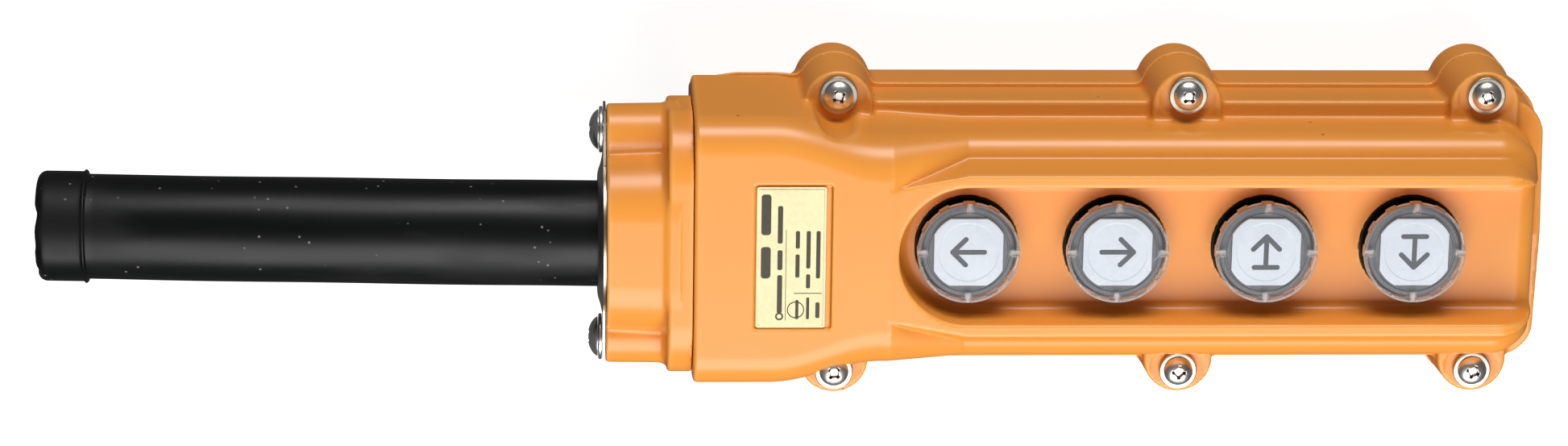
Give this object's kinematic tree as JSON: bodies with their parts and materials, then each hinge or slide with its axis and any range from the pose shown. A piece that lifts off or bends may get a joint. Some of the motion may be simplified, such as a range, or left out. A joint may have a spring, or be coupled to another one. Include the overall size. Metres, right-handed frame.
{
  "type": "pendant control station",
  "caption": "Hand-held push-button pendant for a hoist: a split moulded case with a button trough, screwed joints, a cable gland and a long rubber boot.",
  "frame": {"origin": "centre of the bottom of the bounding box, under the flat back of the case", "axes": "+X along the case, away from the boot; +Z out of the button face; +Y across the case"},
  "size_m": [0.3572, 0.0804, 0.0598],
  "materials": {
    "orange_plastic": "moulded, satin gloss",
    "black_rubber": "matt, slightly dusty",
    "clear_plastic": "clear, polished",
    "grey_plastic": "moulded, matt",
    "white_plate": null,
    "label_foil": null,
    "plated_steel": "bright nickel plate",
    "brass": "bright strip",
    "brown_plastic": "phenolic moulding"
  },
  "bodies": {
    "case": {"front_cover": "orange_plastic", "rear_housing": "orange_plastic", "cover_gasket": "black_rubber", "nameplate": "label_foil", "cover_screw_1": "plated_steel", "cover_screw_2": "plated_steel", "cover_screw_3": "plated_steel", "cover_screw_4": "plated_steel", "cover_screw_5": "plated_steel", "cover_screw_6": "plated_steel", "cover_washer_1": "plated_steel", "cover_washer_2": "plated_steel", "cover_washer_3": "plated_steel", "cover_washer_4": "plated_steel", "cover_washer_5": "plated_steel", "cover_washer_6": "plated_steel", "gland_cap": "orange_plastic", "gland_gasket": "black_rubber", "gland_plate": "plated_steel", "gland_screw_upper": "plated_steel", "gland_washer_upper": "plated_steel", "gland_screw_lower": "plated_steel", "gland_washer_lower": "plated_steel", "cable_boot": "black_rubber", "button_seal_1": "black_rubber", "return_spring_1": "plated_steel", "fixed_contact_1_upper": "brass", "fixed_contact_1_lower": "brass", "button_seal_2": "black_rubber", "return_spring_2": "plated_steel", "fixed_contact_2_upper": "brass", "fixed_contact_2_lower": "brass", "button_seal_3": "black_rubber", "return_spring_3": "plated_steel", "fixed_contact_3_upper": "brass", "fixed_contact_3_lower": "brass", "button_seal_4": "black_rubber", "return_spring_4": "plated_steel", "fixed_contact_4_upper": "brass", "fixed_contact_4_lower": "brass", "contact_block_1": "brown_plastic", "block_screw_1": "plated_steel", "contact_block_2": "brown_plastic", "block_screw_2": "plated_steel"},
    "button_1": {"button_cap_1": "clear_plastic", "legend_plate_1": "white_plate", "button_plunger_1": "grey_plastic", "contact_bridge_1": "brass"},
    "button_2": {"button_cap_2": "clear_plastic", "legend_plate_2": "white_plate", "button_plunger_2": "grey_plastic", "contact_bridge_2": "brass"},
    "button_3": {"button_cap_3": "clear_plastic", "legend_plate_3": "white_plate", "button_plunger_3": "grey_plastic", "contact_bridge_3": "brass"},
    "button_4": {"button_cap_4": "clear_plastic", "legend_plate_4": "white_plate", "button_plunger_4": "grey_plastic", "contact_bridge_4": "brass"}
  },
  "joints": [
    {"name": "button_1_press", "type": "slide", "parent": "case", "child": "button_1", "axis": [0, 0, -1], "range_m": [0, 0.004], "stiffness_N_per_m": 1000, "springref_m": -0.004, "deforming": ["return_spring_1"]},
    {"name": "button_2_press", "type": "slide", "parent": "case", "child": "button_2", "axis": [0, 0, -1], "range_m": [0, 0.004], "stiffness_N_per_m": 1000, "springref_m": -0.004, "deforming": ["return_spring_2"]},
    {"name": "button_3_press", "type": "slide", "parent": "case", "child": "button_3", "axis": [0, 0, -1], "range_m": [0, 0.004], "stiffness_N_per_m": 1000, "springref_m": -0.004, "deforming": ["return_spring_3"]},
    {"name": "button_4_press", "type": "slide", "parent": "case", "child": "button_4", "axis": [0, 0, -1], "range_m": [0, 0.004], "stiffness_N_per_m": 1000, "springref_m": -0.004, "deforming": ["return_spring_4"]}
  ]
}
